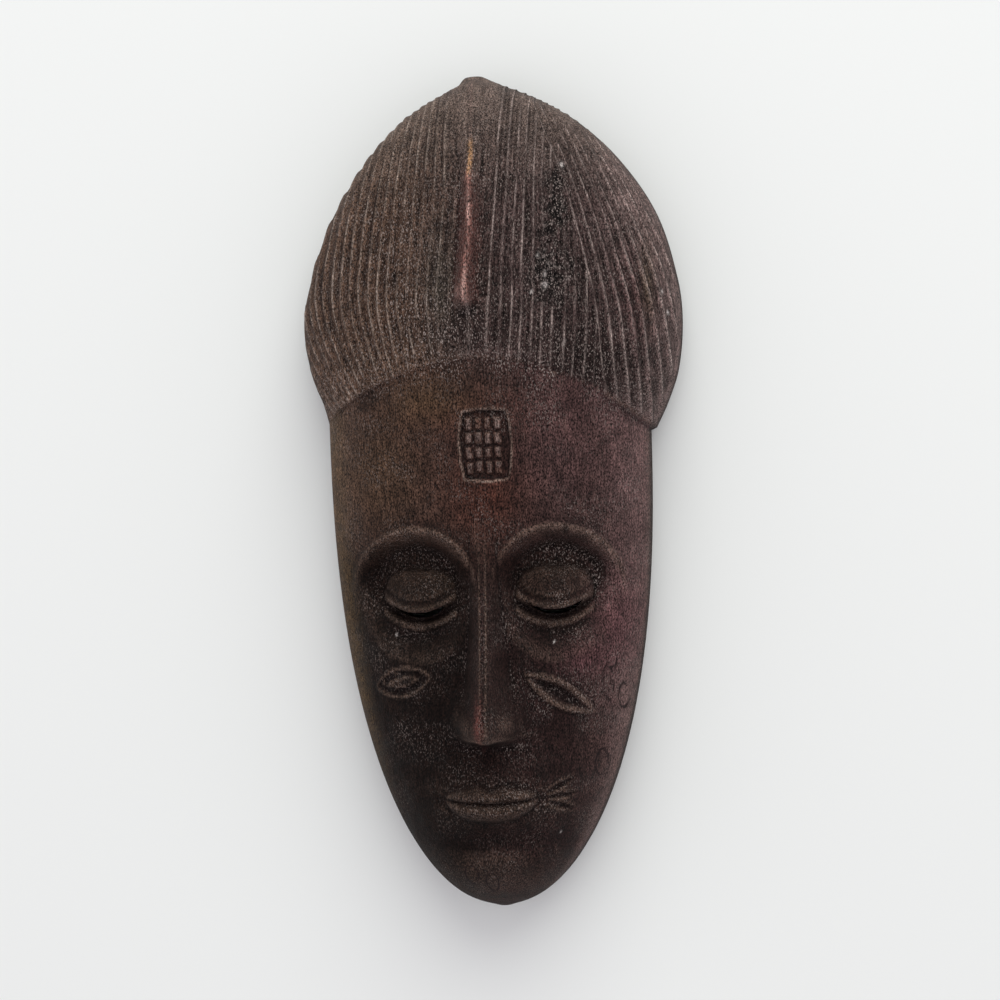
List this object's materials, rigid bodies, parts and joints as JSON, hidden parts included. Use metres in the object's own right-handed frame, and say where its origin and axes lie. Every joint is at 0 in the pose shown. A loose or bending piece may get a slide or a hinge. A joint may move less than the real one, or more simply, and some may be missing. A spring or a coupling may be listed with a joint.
{
  "type": "carved wooden face mask",
  "caption": "Carved wooden Baule face mask with fluted hair, a median crest, closed eyes with pierced slits and an open hollow back, lying on its back rim.",
  "frame": {"origin": "centre of the bounding box in X and Y, on the flat plane of the back rim", "axes": "+Z out of the face, away from the back rim; +Y from the chin to the top of the hair; +X to the right of someone looking at the face"},
  "size_m": [0.153, 0.33, 0.0845],
  "materials": {
    "carved_wood": "hand-carved wood, dark stained, dry and worn"
  },
  "bodies": {
    "root": {"mask": "carved_wood"}
  },
  "joints": []
}
